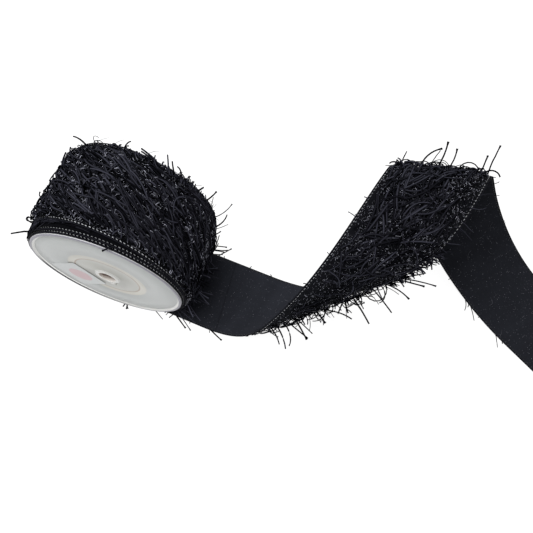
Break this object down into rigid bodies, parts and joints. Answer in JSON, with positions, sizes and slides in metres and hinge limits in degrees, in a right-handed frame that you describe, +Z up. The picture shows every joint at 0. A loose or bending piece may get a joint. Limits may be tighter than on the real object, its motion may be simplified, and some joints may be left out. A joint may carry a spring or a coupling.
{
  "type": "wired ribbon on a spool",
  "caption": "Black shaggy wired ribbon wound on a white flanged spool that lies on its side, with a loose tail that curls over once and lies flat at its cut end",
  "frame": {"origin": "on the floor at the middle of the roll's flat spot, under the spool's axis", "axes": "+X the way the tail leaves the roll, +Y along the spool's axis towards its back flange, +Z up"},
  "size_m": [0.4802, 0.1635, 0.1312],
  "materials": {
    "wound_ribbon": "matte black woven turns with a silvery overcast selvedge",
    "ribbon_cloth": "matte black plain weave, smooth on its back",
    "pile_yarn": "matte black cut yarn with glinting flecks",
    "spool_plastic": "white moulded plastic, a little glossy",
    "core_board": "brown wound board",
    "label_paper": "white paper sticker, blank"
  },
  "bodies": {
    "root": {"roll": "wound_ribbon", "tail": "ribbon_cloth", "pile_row_roll_1": "pile_yarn", "pile_row_roll_2": "pile_yarn", "pile_row_roll_3": "pile_yarn", "pile_row_roll_4": "pile_yarn", "pile_row_tail_1": "pile_yarn", "pile_row_tail_2": "pile_yarn", "pile_row_tail_3": "pile_yarn", "flange_front": "spool_plastic", "flange_back": "spool_plastic", "core": "core_board", "label": "label_paper"}
  },
  "joints": []
}
